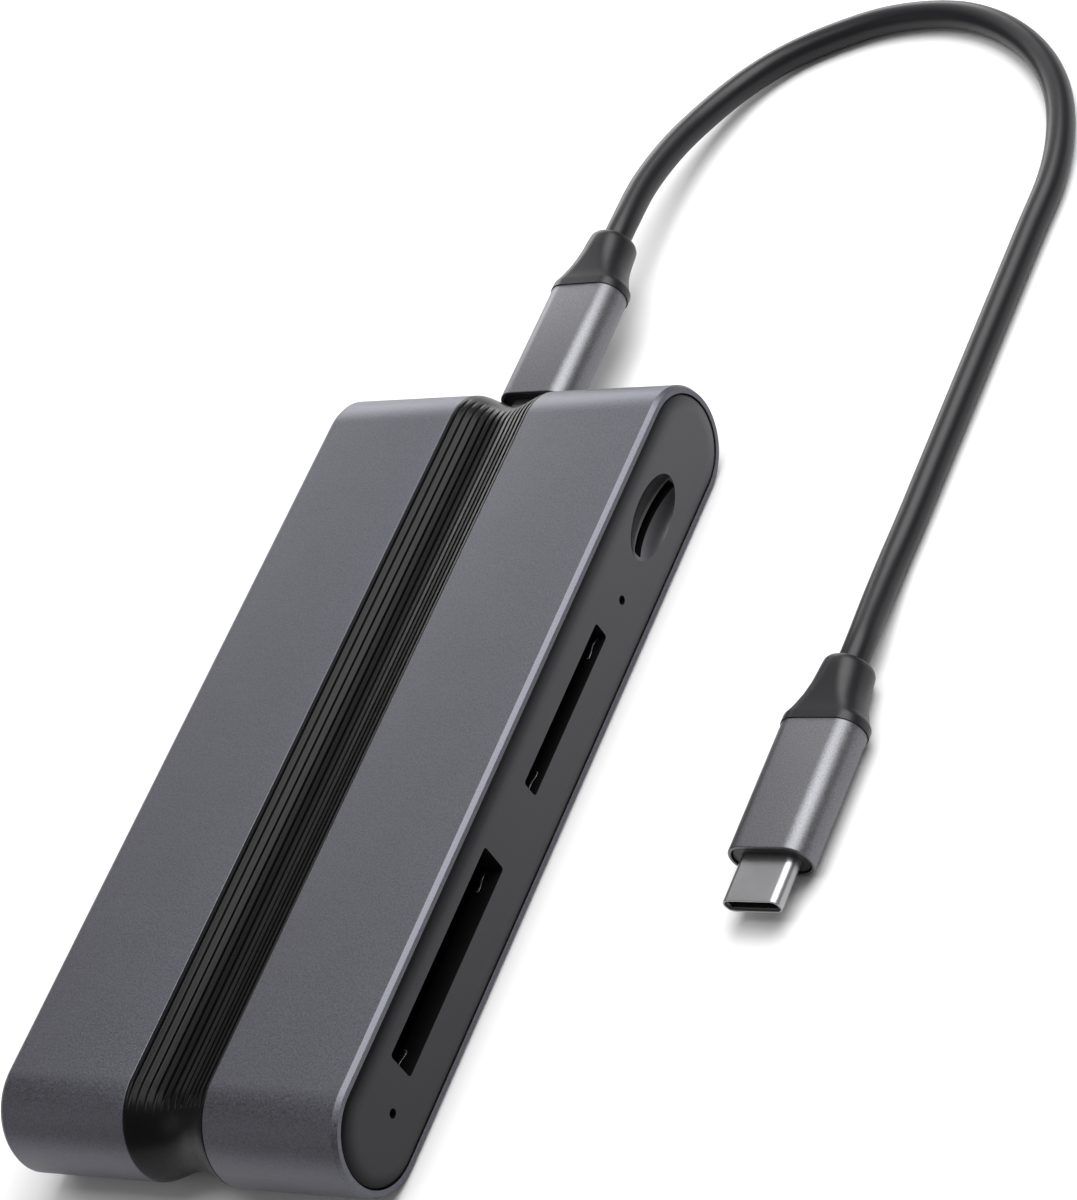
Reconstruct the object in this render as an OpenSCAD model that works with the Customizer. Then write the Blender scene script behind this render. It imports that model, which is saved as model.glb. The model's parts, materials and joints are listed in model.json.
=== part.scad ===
// USB hub: two aluminium sleeves on a ribbed centre band, card slots in one end cap,
// USB ports in the other, and a short plug-to-plug host cable lying beside it.
// X runs across the hub, Y along it with the host port at +Y, Z up. The hub stands on z = 0
// and the origin is the middle of its underside.

/* [Body] */
// Length of the hub along Y
body_length = 121; // [118:0.5:126]
// Width of the hub over both sleeves
body_width = 54.1; // [53.5:0.1:58]
// Height of the hub, also the diameter of its round long edges
body_height = 16.7; // [16.5:0.1:17.5]
// Wall thickness of the aluminium sleeves
sleeve_wall = 1.1; // [1:0.05:1.2]

/* [Centre band] */
// Width of the black band between the sleeves
band_width = 12.8; // [12:0.1:14]
// Depth of the valley at the middle of the band
valley_depth = 1.77; // [1:0.05:1.8]
// Number of grooves on each face of the band
groove_count = 12; // [8:1:14]
// Distance between grooves
groove_pitch = 1.035; // [0.8:0.01:1.05]
// Width of a groove
groove_width = 0.35; // [0.2:0.01:0.4]
// Depth of a groove
groove_depth = 0.3; // [0.1:0.01:0.35]

/* [Card slots] */
// Middle of the SD slot along Y
sd_y = 9.4; // [8.4:0.1:10.4]
// Width of the SD slot
sd_slot_w = 25; // [24.4:0.1:25.2]
// Height of the SD slot
sd_slot_h = 2.8; // [2.4:0.1:2.8]
// Middle of the CFexpress slot along Y
cfe_y = -29.2; // [-29.6:0.1:-28.6]
// Width of the CFexpress slot
cfe_slot_w = 30.5; // [30:0.1:30.8]
// Height of the CFexpress slot
cfe_slot_h = 4.65; // [4.5:0.05:4.65]
// Middle of the microSD slot along Y
micro_y = 40.6; // [40.4:0.1:41.4]
// Middle of the finger dish along Y
dish_y = 40.3; // [40:0.1:41]
// Length of the finger dish over the microSD slot
dish_length = 13.2; // [12.5:0.1:14]
// Depth of the finger dish
dish_depth = 1.4; // [1:0.1:1.5]
// Inward travel of the microSD push-to-eject slider, which also sets how deep its socket is
eject_travel = 1.4; // [1:0.1:1.4]

/* [Cable] */
// Sideways place of the host port and of the plug in it
port_x = -0.6; // [-1:0.1:0]
// Diameter of the cable
cord_d = 3.9; // [3.5:0.1:4]
// Width of a plug's aluminium sleeve
plug_width = 11.8; // [11:0.1:12]
// Thickness of a plug's aluminium sleeve
plug_height = 5.9; // [5.6:0.1:6]
// Length of a plug's aluminium sleeve
plug_length = 19.2; // [17:0.1:21]
// Length of a strain relief
relief_length = 9.9; // [8:0.1:10]

/* [Hidden] */
$fn = 48;

sleeve_metal = "#77777f";
band_black = "#1c1c1d";
cap_grey = "#4c4c4f";
plug_metal = "#84848a";
cord_grey = "#39393b";
steel = "#b9bbbf";
gold = "#c8a040";
board_green = "#1f4a33";
chip_black = "#202022";
cream = "#d8d4c4";

// Body sections: r is the distance from the middle plane, or from a round edge's centre line.
fit_gap = 0.05;
mid_z = body_height / 2;
outer_r = body_height / 2;
sleeve_r = outer_r - sleeve_wall;
end_y = body_length / 2 - outer_r;
half_w = body_width / 2;
half_band = band_width / 2;

// Sleeve ends: a bevel that is longer along X than it is deep.
bevel_x = 0.65;
bevel_r = 0.4;

// End caps: plates let into the sleeves inside a narrow seam. The face swells from a flush edge.
cap_r = sleeve_r - fit_gap;
rim_r = sleeve_r - 0.15;
rim_x = half_w - 0.1;
rim_edge = 0.12;
dome_depth = 0.55;
dome_width = 2.7;
dome_r = (pow(dome_width, 2) + pow(dome_depth, 2)) / (2 * dome_depth);
seam_x = half_w - 0.8;
face_x = rim_x + dome_depth;
cap_back_x = face_x - 3;
skirt_x = half_w - 6;
skirt_r = cap_r - 0.9;

// Band: the visible part, and tongues that the sleeves slide over.
band_inner_r = 5.6;
tongue_reach = half_band + 3.6;
tongue_r = sleeve_r - fit_gap;
tongue_inner_r = 5.9;
groove_end_y = end_y + 2.4;

// Circuit board and the heights of what stands on it.
board_top = 6.2;
board_t = 1.2;
board_half_x = 23.5;
board_half_y = 51;
board_tab_y = 53.4;
frame_floor = mid_z - band_inner_r + fit_gap;
frame_plate = 0.9;
screw_spots = [[-9.5, 46], [12.5, 30], [-14, -48.5], [12.5, -48.5]];
screw_r = 1.0;
screw_hole_r = 1.1;

sd_z = 9.15;
cfe_z = 10;
micro_z = 8.3;
micro_slot_w = 12;
micro_slot_h = 1.3;
slot_corner = 0.45;
dish_z = 8.95;
dish_half_h = 3.62;
led_z = 7.9;
led_spots = [27.6, -49.65];
led_hole_r = 0.62;

usb_a_z = 9.1;
usb_a_spots = [15, -8];
usb_a_w = 13.1;
usb_a_h = 5.7;
usb_a_wall = 0.3;
power_y = 36;

// Host connector, in the sizes of the USB-C standard.
nose_w = 8.25;
nose_h = 2.4;
nose_wall = 0.25;
nose_out = 6.6;
nose_in = 2;
port_w = 8.4;
port_h = 2.56;
port_wall = 0.28;
port_depth = 6.9;
tongue_w = 6.2;
tongue_h = 0.7;
port_face_y = body_length / 2 - valley_depth - 0.25;
plug_wall = 0.45;
plug_front_y = body_length / 2 + 0.4;

// Strain relief: [distance from the plug, half width, half height].
relief_stations = [
    [0, plug_width / 2 + 0.1, plug_height / 2 + 0.1],
    [1.3, plug_width / 2, plug_height / 2 + 0.1],
    [2.3, 5.25, 3.05],
    [3.5, 4.7, 3.1],
    [5.2, 4.08, 3.2],
    [7.4, 3.64, 3.3],
    [relief_length - 0.7, 3.48, 3.35],
    [relief_length, 2.8, 2.7]
];
relief_r = 3.35;

// Far plug lies on the table beside the hub, and points the same way as the plug in the port.
free_x = 62.7;
free_front_y = -9;
free_z = relief_r + 0.05;
cable_start_y = plug_front_y + plug_length + relief_length;
cable_end_y = free_front_y + plug_length + relief_length;
cord_z = cord_d / 2;

// Cable: straight out of the port, down to the table, one wide turn, and straight back.
cable_route = [
    [port_x, cable_start_y, mid_z], [port_x, 94, mid_z],
    [-1, 101.5, 7.6], [-0.5, 109.5, 6.2], [1, 117, 4.5], [4, 124.5, 2.9], [9, 130, 2.1],
    [16, 133.5, cord_z], [23.5, 135.5, cord_z], [32, 135.5, cord_z], [39.5, 133.5, cord_z],
    [46.5, 129.5, cord_z], [52.5, 124, cord_z], [57, 117.5, cord_z], [60, 110, cord_z],
    [61.5, 102, cord_z], [61.5, 93, cord_z], [61.5, 83, cord_z], [61.5, 73, cord_z],
    [61.5, 63, cord_z], [61.5, 53, cord_z], [61.5, 44, cord_z], [61.5, 37, 2.1],
    [62, 30, 2.7], [free_x, 24, free_z], [free_x, cable_end_y, free_z]
];
cord_sides = 8;
rings_per_span = 2;

// Places given by a flat shape drawn in X and Z, or in Y and Z.
module along_y(from, to) {
    translate([0, to, 0]) rotate([90, 0, 0]) linear_extrude(to - from) children();
}
module along_x(from, to) {
    translate([from, 0, 0]) rotate([90, 0, 90]) linear_extrude(to - from) children();
}
module block(from, to) {
    translate(from) cube(to - from);
}
module stadium(w, h) {
    square([w - h, h], center = true);
    for (side = [-1, 1]) translate([side * (w - h) / 2, 0]) circle(d = h);
}
module stadium_ring(w, h, wall) {
    difference() {
        stadium(w, h);
        stadium(w - 2 * wall, h - 2 * wall);
    }
}
module round_slot(w, h, r) {
    square([w - 2 * r, h], center = true);
    square([w, h - 2 * r], center = true);
    for (sx = [-1, 1], sz = [-1, 1]) translate([sx * (w / 2 - r), sz * (h / 2 - r)]) circle(r);
}
// A closed loop round the body: points are [x, r], r as far from the middle plane as from the
// centre line of each round edge.
module racetrack(points) {
    turned = [for (p = points) [p[1], p[0]]];
    translate([0, 0, mid_z]) {
        for (side = [0, 1]) mirror([0, side, 0]) translate([0, end_y, 0])
            rotate([0, 90, 0]) rotate_extrude(angle = 180) polygon(turned);
        for (side = [0, 1]) mirror([0, 0, side])
            translate([0, end_y, 0]) rotate([90, 0, 0]) linear_extrude(2 * end_y) polygon(points);
    }
}

// Sleeves
module sleeve() {
    color(sleeve_metal) racetrack([
        [half_band, sleeve_r], [half_band, outer_r], [half_w - bevel_x, outer_r],
        [half_w, outer_r - bevel_r], [half_w, sleeve_r]
    ]);
}
module right_shell() { sleeve(); }
module left_shell() { mirror([1, 0, 0]) sleeve(); }

// Centre band
function valley(x) = valley_depth * pow((1 + cos(180 * x / half_band)) / 2, 2 / 3);
module center_band() {
    steps = 12;
    visible = [for (i = [-steps : steps]) [half_band * i / steps, outer_r - valley(half_band * i / steps)]];
    inner = [
        [half_band, tongue_r], [tongue_reach, tongue_r], [tongue_reach, tongue_inner_r],
        [half_band, tongue_inner_r], [half_band, band_inner_r],
        [-half_band, band_inner_r], [-half_band, tongue_inner_r],
        [-tongue_reach, tongue_inner_r], [-tongue_reach, tongue_r], [-half_band, tongue_r]
    ];
    color(band_black) difference() {
        racetrack(concat(visible, inner));
        for (i = [0 : groove_count - 1]) {
            x = (i - (groove_count - 1) / 2) * groove_pitch;
            depth = valley(x) + groove_depth;
            for (z = [depth - 2, body_height - depth])
                translate([x - groove_width / 2, -groove_end_y, z]) cube([groove_width, 2 * groove_end_y, 2]);
        }
        translate([port_x, 0, mid_z]) along_y(end_y, body_length / 2 + 1)
            stadium(port_w + 2 * port_wall + 0.1, port_h + 2 * port_wall + 0.1);
    }
}

// End caps
module blank_cap() {
    steps = 6;
    dome = [for (i = [0 : steps]) let (s = (dome_width - rim_edge) * (1 - i / steps))
        [face_x - dome_r + sqrt(pow(dome_r, 2) - pow(s, 2)), rim_r - dome_width + s]];
    racetrack(concat(
        [[cap_back_x, 0], [cap_back_x, skirt_r], [skirt_x, skirt_r], [skirt_x, cap_r], [seam_x, cap_r],
        [seam_x, rim_r], [rim_x - rim_edge, rim_r]], dome, [[face_x, 0]]));
}
// The finger dish is a spindle, an arc turned about a line along Y outside the face.
module finger_dish() {
    mid_r = (pow(dish_half_h, 2) + pow(dish_depth, 2)) / (2 * dish_depth);
    long_r = (pow(dish_length / 2, 2) + pow(dish_depth, 2)) / (2 * dish_depth);
    steps = 8;
    arc = [for (i = [-steps : steps]) let (y = dish_length / 2 * i / steps)
        [sqrt(pow(long_r, 2) - pow(y, 2)) - long_r + mid_r, y]];
    translate([face_x + mid_r - dish_depth, dish_y, dish_z]) rotate([-90, 0, 0]) rotate_extrude()
        polygon(concat([[0, -dish_length / 2]], arc, [[0, dish_length / 2]]));
}
module right_end_cap() {
    color(cap_grey) difference() {
        blank_cap();
        finger_dish();
        translate([0, micro_y, micro_z]) along_x(cap_back_x - 1, face_x + 1)
            round_slot(micro_slot_w, micro_slot_h, 0.3);
        translate([0, sd_y, sd_z]) along_x(cap_back_x - 1, face_x + 1)
            round_slot(sd_slot_w, sd_slot_h, slot_corner);
        translate([0, cfe_y, cfe_z]) along_x(cap_back_x - 1, face_x + 1)
            round_slot(cfe_slot_w, cfe_slot_h, slot_corner);
        for (y = led_spots) translate([cap_back_x - 1, y, led_z]) rotate([0, 90, 0])
            cylinder(r = led_hole_r, h = 5);
    }
}
module left_end_cap() {
    color(cap_grey) difference() {
        mirror([1, 0, 0]) blank_cap();
        for (y = usb_a_spots) translate([0, y, usb_a_z]) along_x(-face_x - 1, 1 - cap_back_x)
            round_slot(usb_a_w + 0.1, usb_a_h + 0.1, 0.1);
        translate([0, power_y, mid_z]) along_x(-face_x - 1, 1 - cap_back_x)
            stadium(port_w + 2 * port_wall + 0.1, port_h + 2 * port_wall + 0.1);
    }
}

// Frame, board and screws
module inner_frame() {
    post_top = board_top - board_t;
    color(band_black) difference() {
        union() {
            block([-board_half_x + 3, -board_half_y + 1, frame_floor],
                [board_half_x - 3, board_half_y - 1, frame_floor + frame_plate]);
            for (p = screw_spots) translate([p[0], p[1], frame_floor])
                cylinder(r = 2.6, h = post_top - frame_floor);
        }
        for (p = screw_spots) translate([p[0], p[1], frame_floor + 0.5])
            cylinder(r = screw_r + 0.01, h = post_top);
    }
}
module main_board() {
    color(board_green) difference() {
        union() {
            block([-board_half_x, -board_half_y, board_top - board_t], [board_half_x, board_half_y, board_top]);
            block([port_x - 5, 0, board_top - board_t], [port_x + 5, board_tab_y, board_top]);
        }
        for (p = screw_spots) translate([p[0], p[1], 0]) cylinder(r = screw_hole_r, h = board_top + 1);
    }
}
module board_screws() {
    color(steel) for (p = screw_spots) translate([p[0], p[1], 0]) difference() {
        union() {
            translate([0, 0, frame_floor + 0.8]) cylinder(r = screw_r, h = board_top - frame_floor - 0.8);
            translate([0, 0, board_top]) cylinder(r = 1.9, h = 0.9);
        }
        translate([-1.2, -0.2, board_top + 0.5]) cube([2.4, 0.4, 1]);
        translate([-0.2, -1.2, board_top + 0.5]) cube([0.4, 2.4, 1]);
    }
}

// USB-C receptacle, drawn with its mouth at the end of the run
module port_section() { stadium_ring(port_w + 2 * port_wall, port_h + 2 * port_wall, port_wall); }
module port_back() {
    stadium(port_w + 2 * port_wall, port_h + 2 * port_wall);
    translate([-3, board_top - mid_z]) square([6, mid_z - board_top]);
}
module host_port_shell() {
    color(steel) translate([port_x, 0, mid_z]) {
        along_y(port_face_y - port_depth, port_face_y) port_section();
        along_y(port_face_y - port_depth - 0.3, port_face_y - port_depth) port_back();
    }
}
module host_port_tongue() {
    color(chip_black) translate([port_x, port_face_y - port_depth, mid_z]) {
        along_y(0, 0.8) stadium(port_w - 0.04, port_h - 0.04);
        block([-tongue_w / 2, 0.8, -tongue_h / 2], [tongue_w / 2, port_depth - 1.6, tongue_h / 2]);
    }
}
module power_port_shell() {
    color(steel) translate([0, power_y, mid_z]) {
        along_x(-face_x, port_depth - face_x) port_section();
        along_x(port_depth - face_x, port_depth + 0.3 - face_x) port_back();
    }
}
module power_port_tongue() {
    color(chip_black) translate([port_depth - face_x, power_y, mid_z]) {
        along_x(-0.8, 0) stadium(port_w - 0.04, port_h - 0.04);
        block([1.6 - port_depth, -tongue_w / 2, -tongue_h / 2], [-0.8, tongue_w / 2, tongue_h / 2]);
    }
}

// USB-A receptacle, mouth towards -X
module usb_a_shell(y) {
    depth = 14;
    w = usb_a_w / 2;
    h = usb_a_h / 2;
    color(steel) translate([-face_x, y, usb_a_z]) difference() {
        block([0, -w, -h], [depth, w, h]);
        block([-1, usb_a_wall - w, usb_a_wall - h], [depth - 0.3, w - usb_a_wall, h - usb_a_wall]);
    }
}
module usb_a_tongue(y) {
    depth = 14;
    w = usb_a_w / 2 - usb_a_wall;
    h = usb_a_h / 2 - usb_a_wall;
    color("#2f5fae") translate([-face_x, y, usb_a_z]) {
        block([depth - 2.3, -w, -h], [depth - 0.3, w, h]);
        block([1.4, -5.6, 0.4], [depth - 2.3, 5.6, h - 0.4]);
    }
}
module usb_a_shell_rear() { usb_a_shell(usb_a_spots[0]); }
module usb_a_tongue_rear() { usb_a_tongue(usb_a_spots[0]); }
module usb_a_shell_front() { usb_a_shell(usb_a_spots[1]); }
module usb_a_tongue_front() { usb_a_tongue(usb_a_spots[1]); }

// Card sockets, mouths towards +X at the back of the cap
socket_x = cap_back_x - 0.1;
cover_t = 0.2;
sd_depth = 26;
micro_depth = 12 + eject_travel;
cfe_depth = 35;
module socket_tray(y, z, w, h, depth) {
    half = w / 2;
    translate([socket_x - depth, y, 0]) {
        block([0, -half - 1, board_top], [depth, half + 1, z - h / 2]);
        block([0, -half - 1, z - h / 2], [1.5, half + 1, z + h / 2]);
        for (side = [-1, 1]) translate([0, side * (half + 0.5), 0])
            block([1.5, -0.5, z - h / 2], [depth, 0.5, z + h / 2]);
    }
}
module socket_lid(y, z, w, h, depth) {
    translate([socket_x - depth, y, z + h / 2]) difference() {
        block([0, -w / 2 - 1, 0], [depth, w / 2 + 1, cover_t]);
        for (side = [-1, 1]) block([4, side * w / 4 - 1.2, -1], [9, side * w / 4 + 1.2, 1]);
    }
}
module finger_contacts(y, z, w, h, depth, count) {
    pitch = (w - 3) / (count - 1);
    for (i = [0 : count - 1]) translate([socket_x - depth, y - (w - 3) / 2 + i * pitch, z - h / 2])
        block([1.5, -0.35, 0], [7.5, 0.35, 0.25]);
}
module sd_socket() { color(chip_black) socket_tray(sd_y, sd_z, sd_slot_w, sd_slot_h, sd_depth); }
module sd_cover() { color(steel) socket_lid(sd_y, sd_z, sd_slot_w, sd_slot_h, sd_depth); }
module sd_contacts() { color(gold) finger_contacts(sd_y, sd_z, sd_slot_w, sd_slot_h, sd_depth, 9); }

module cfexpress_rails() {
    color(steel) {
        socket_lid(cfe_y, cfe_z, cfe_slot_w, cfe_slot_h, cfe_depth);
        translate([socket_x - cfe_depth, cfe_y, 0]) {
            block([0, -cfe_slot_w / 2 - 1, board_top], [cfe_depth, cfe_slot_w / 2 + 1, cfe_z - cfe_slot_h / 2]);
            for (side = [-1, 1]) translate([0, side * (cfe_slot_w / 2 + 0.5), 0])
                block([0, -0.5, cfe_z - cfe_slot_h / 2], [cfe_depth, 0.5, cfe_z + cfe_slot_h / 2]);
        }
    }
}
module cfexpress_header() {
    color(chip_black) translate([socket_x - cfe_depth, cfe_y, cfe_z]) difference() {
        block([0, -cfe_slot_w / 2, -cfe_slot_h / 2], [5.5, cfe_slot_w / 2, cfe_slot_h / 2]);
        block([1.5, -12, -1], [6, 12, 1]);
    }
}
module cfexpress_pins() {
    color(gold) translate([socket_x - cfe_depth + 1.5, cfe_y, cfe_z])
        for (i = [0 : 19]) block([0, i * 1.15 - 11.1, -1], [3.5, i * 1.15 - 10.8, -0.65]);
}

// The microSD socket leaves a channel beside the card for the slider and its spring.
micro_h = 1.4;
micro_cavity_w = 11.4;
slider_w = 1.6;
slider_y = micro_y - micro_cavity_w / 2 - slider_w / 2 - 0.1;
slider_length = 5.2;
slider_front_x = socket_x - 2;
spring_r = 0.58;
spring_length = micro_depth - 3 - slider_length - 0.1;
module microsd_socket() {
    x0 = socket_x - micro_depth;
    low_y = slider_y - slider_w / 2 - 0.3;
    high_y = micro_y + micro_cavity_w / 2;
    floor_z = micro_z - micro_h / 2;
    color(chip_black) {
        block([x0, low_y - 0.7, board_top], [socket_x, high_y + 0.7, floor_z]);
        block([x0, low_y - 0.7, floor_z], [x0 + 1, high_y + 0.7, floor_z + micro_h]);
        block([x0 + 1, low_y - 0.7, floor_z], [socket_x, low_y, floor_z + micro_h]);
        block([x0 + 1, high_y, floor_z], [socket_x, high_y + 0.7, floor_z + micro_h]);
        block([socket_x - 0.8, low_y, floor_z], [socket_x, low_y + slider_w + 0.2, floor_z + micro_h]);
    }
}
module microsd_cover() {
    top_z = micro_z + micro_h / 2;
    low_y = slider_y - slider_w / 2 - 1;
    color(steel) difference() {
        block([socket_x - micro_depth, low_y, top_z],
            [socket_x, micro_y + micro_cavity_w / 2 + 0.7, top_z + cover_t]);
        block([socket_x - 9, micro_y - 2, 0], [socket_x - 4, micro_y - 0.5, 20]);
        block([socket_x - 9, micro_y + 1.5, 0], [socket_x - 4, micro_y + 3, 20]);
    }
}
module microsd_contacts() {
    color(gold) for (i = [0 : 7])
        translate([socket_x - micro_depth + 1, micro_y - 3.4 + i * 1.1, micro_z - micro_h / 2])
            block([0, -0.25, 0], [5, 0.25, 0.15]);
}
module microsd_slider() {
    translate([slider_front_x, slider_y, micro_z]) color(cream) {
        block([-slider_length, -slider_w / 2, -0.6], [0, slider_w / 2, 0.6]);
        block([-slider_length, slider_w / 2, -0.4], [1.3 - slider_length, slider_w / 2 + 2.2, 0.6]);
    }
}
module microsd_spring() {
    wire = 0.2;
    coils = 8;
    x_end = slider_front_x - slider_length;
    color(steel) for (i = [0 : coils - 1])
        translate([x_end - wire - i * (spring_length - 2 * wire) / (coils - 1), slider_y, micro_z])
            rotate([0, 90, 0]) rotate_extrude() translate([spring_r - wire / 2, 0]) circle(d = wire, $fn = 16);
}

// Chips and small parts on the board
module chip(x, y, w, l, h) {
    block([x - w / 2, y - l / 2, board_top], [x + w / 2, y + l / 2, board_top + h]);
}
module hub_chip() { color(chip_black) chip(-3.5, 34, 9, 9, 0.9); }
module reader_chip() { color(chip_black) chip(-8.2, 3.5, 6, 6, 0.9); }
module power_chip() { color(chip_black) chip(-15, 26.6, 5, 5, 0.9); }
module clock_crystals() {
    color(steel) {
        chip(4.5, 36, 2.5, 3.2, 0.7);
        chip(-9, 11, 2.5, 3.2, 0.7);
    }
}
module power_coils() {
    color("#55565a") {
        chip(-13.5, 45.5, 4, 4, 2);
        chip(-17.5, -22, 5, 5, 2.4);
    }
}
module capacitors() {
    color("#b08a5c") {
        for (i = [0 : 3]) chip(-10.5, 32 + i * 2.4, 1.6, 0.8, 0.8);
        for (i = [0 : 5]) chip(-14.5 - i * 1.3, -28, 0.8, 1.6, 0.8);
        for (i = [0 : 3]) chip(-8 + i * 2, 41.5, 0.8, 1.6, 0.8);
    }
}
chip_top = board_top + 0.9;
pad_top = 12.2;
module thermal_pads() {
    color("#9db4c8") {
        block([-7.5, 30, chip_top], [0.5, 38, pad_top]);
        block([-10.8, 1, chip_top], [-5.6, 6, pad_top]);
    }
}
module heat_spreader() { color(plug_metal) block([-11, -8, pad_top], [4, 42, pad_top + 1]); }

// Status lights behind the two pinholes
module status_leds() {
    color("white") for (y = led_spots) block([board_half_x - 1.6, y - 0.8, board_top], [board_half_x, y + 0.8, led_z + 0.8]);
}
module light_pipes() {
    color([0.9, 0.95, 1, 0.5]) for (y = led_spots) translate([board_half_x + 0.1, y, led_z])
        rotate([0, 90, 0]) cylinder(r = led_hole_r - 0.04, h = face_x - 0.8 - board_half_x);
}

// Plug of the host cable: local frame with the front face at y = 0 and the nose towards -Y
module at_hub_plug() { translate([port_x, plug_front_y, mid_z]) children(); }
module at_free_plug() { translate([free_x, free_front_y, free_z]) children(); }
module plug_nose() {
    color(steel) along_y(-nose_out, nose_in) stadium_ring(nose_w, nose_h, nose_wall);
}
module plug_insert() {
    inset = nose_wall + 0.02;
    color(chip_black) {
        along_y(-nose_out + 0.3, -0.6) difference() {
            stadium(nose_w - 2 * inset, nose_h - 2 * inset);
            square([tongue_w + 0.5, tongue_h + 0.5], center = true);
        }
        along_y(-0.6, nose_in) stadium(nose_w - 2 * inset, nose_h - 2 * inset);
    }
}
module plug_core() {
    inner_w = plug_width - 2 * plug_wall;
    inner_h = plug_height - 2 * plug_wall;
    color(band_black) difference() {
        along_y(0.35, plug_length) stadium(inner_w, inner_h);
        along_y(-1, nose_in) stadium(nose_w, nose_h);
    }
}
module plug_sleeve() {
    color(plug_metal) along_y(0, plug_length) stadium_ring(plug_width, plug_height, plug_wall);
}
module relief_slice(s) {
    along_y(plug_length + s[0] - 0.01, plug_length + s[0]) stadium(2 * s[1], 2 * s[2], $fn = 32);
}
module plug_relief() {
    color(cord_grey) intersection() {
        along_y(plug_length, plug_length + relief_length) square(40, center = true);
        for (i = [0 : len(relief_stations) - 2])
            hull() {
                relief_slice(relief_stations[i]);
                relief_slice(relief_stations[i + 1]);
            }
    }
}
module hub_plug_nose() { at_hub_plug() plug_nose(); }
module hub_plug_insert() { at_hub_plug() plug_insert(); }
module hub_plug_core() { at_hub_plug() plug_core(); }
module hub_plug_sleeve() { at_hub_plug() plug_sleeve(); }
module hub_plug_relief() { at_hub_plug() plug_relief(); }
module free_plug_nose() { at_free_plug() plug_nose(); }
module free_plug_insert() { at_free_plug() plug_insert(); }
module free_plug_core() { at_free_plug() plug_core(); }
module free_plug_sleeve() { at_free_plug() plug_sleeve(); }
module free_plug_relief() { at_free_plug() plug_relief(); }

// Cable: rings of points round a smooth curve through the route
function route_at(i) = cable_route[max(0, min(len(cable_route) - 1, i))];
function curve_at(i, t) =
    let (a = route_at(i - 1), b = route_at(i), c = route_at(i + 1), d = route_at(i + 2))
    (2 * b + (c - a) * t + (2 * a - 5 * b + 4 * c - d) * t * t + (3 * b - a - 3 * c + d) * t * t * t) / 2;
function unit(v) = v / norm(v);
function ring_at(p, dir) =
    let (side = unit(cross(dir, [0, 0, 1])), up = cross(side, dir))
    [for (k = [0 : cord_sides - 1]) let (a = 360 * k / cord_sides)
        p + cord_d / 2 * (side * cos(a) + up * sin(a))];
module host_cable() {
    spans = len(cable_route) - 1;
    centres = [for (i = [0 : spans - 1], k = [0 : rings_per_span - 1]) curve_at(i, k / rings_per_span),
        cable_route[spans]];
    last = len(centres) - 1;
    rings = [for (j = [0 : last])
        ring_at(centres[j], unit(centres[min(last, j + 1)] - centres[max(0, j - 1)]))];
    points = [for (ring = rings, p = ring) p];
    sides = [for (j = [0 : last - 1], k = [0 : cord_sides - 1]) let (n = (k + 1) % cord_sides)
        [j * cord_sides + k, j * cord_sides + n, (j + 1) * cord_sides + n, (j + 1) * cord_sides + k]];
    near_end = [for (k = [0 : cord_sides - 1]) cord_sides - 1 - k];
    far_end = [for (k = [0 : cord_sides - 1]) last * cord_sides + k];
    color(cord_grey) polyhedron(points, concat(sides, [near_end, far_end]), convexity = 4);
}

left_shell();
right_shell();
center_band();
left_end_cap();
right_end_cap();
inner_frame();
main_board();
board_screws();
host_port_shell();
host_port_tongue();
usb_a_shell_rear();
usb_a_tongue_rear();
usb_a_shell_front();
usb_a_tongue_front();
power_port_shell();
power_port_tongue();
sd_socket();
sd_cover();
sd_contacts();
cfexpress_rails();
cfexpress_header();
cfexpress_pins();
microsd_socket();
microsd_cover();
microsd_contacts();
microsd_slider();
microsd_spring();
hub_chip();
reader_chip();
power_chip();
clock_crystals();
power_coils();
capacitors();
thermal_pads();
heat_spreader();
status_leds();
light_pipes();
hub_plug_nose();
hub_plug_insert();
hub_plug_core();
hub_plug_sleeve();
hub_plug_relief();
host_cable();
free_plug_relief();
free_plug_sleeve();
free_plug_core();
free_plug_insert();
free_plug_nose();
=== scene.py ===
import json
import math

import bmesh
import bpy
from mathutils import Matrix, Vector


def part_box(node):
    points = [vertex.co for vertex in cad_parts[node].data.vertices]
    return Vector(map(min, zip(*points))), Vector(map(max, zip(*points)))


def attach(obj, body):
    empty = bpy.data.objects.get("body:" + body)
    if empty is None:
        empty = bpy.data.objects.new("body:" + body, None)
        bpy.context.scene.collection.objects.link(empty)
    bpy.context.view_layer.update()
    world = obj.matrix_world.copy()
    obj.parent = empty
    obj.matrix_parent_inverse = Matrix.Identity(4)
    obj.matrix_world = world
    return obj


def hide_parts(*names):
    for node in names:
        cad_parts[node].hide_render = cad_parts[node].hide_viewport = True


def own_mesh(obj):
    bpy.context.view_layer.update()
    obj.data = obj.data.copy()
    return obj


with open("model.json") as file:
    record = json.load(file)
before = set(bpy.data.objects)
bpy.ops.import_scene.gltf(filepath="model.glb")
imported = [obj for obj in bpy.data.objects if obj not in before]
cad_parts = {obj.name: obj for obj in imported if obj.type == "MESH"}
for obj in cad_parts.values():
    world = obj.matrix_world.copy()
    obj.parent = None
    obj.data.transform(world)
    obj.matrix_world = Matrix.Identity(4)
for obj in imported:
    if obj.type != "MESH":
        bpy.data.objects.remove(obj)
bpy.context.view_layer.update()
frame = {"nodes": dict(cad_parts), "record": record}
MM = 0.001
SHARP = 32          # degrees: edges bent further than this stay sharp
MERGE = 1e-7        # metres: points closer than this become one
scene = bpy.context.scene


# ---------------------------------------------------------------- camera

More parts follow.
